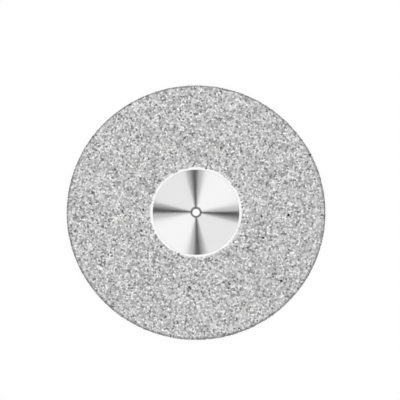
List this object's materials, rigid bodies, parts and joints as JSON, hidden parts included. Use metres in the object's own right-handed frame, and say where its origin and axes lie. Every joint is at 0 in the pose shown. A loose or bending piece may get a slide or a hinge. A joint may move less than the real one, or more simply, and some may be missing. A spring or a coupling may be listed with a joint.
{
  "type": "diamond cutting disc",
  "caption": "Thin round cutting disc: a sheet steel blank with a small bore and a bare bright hub, plated with diamond grit over both faces and round the rim.",
  "frame": {"origin": "centre of the bore, midway between the disc's two faces", "axes": "+Z along the disc's axis, out of its upper face; the disc lies flat, and X and Y are alike"},
  "size_m": [0.045, 0.045, 0.0006],
  "materials": {
    "bright_steel": "satin",
    "diamond_grit": "matte"
  },
  "bodies": {
    "root": {"steel_blank": "bright_steel", "diamond_layer": "diamond_grit"}
  },
  "joints": []
}
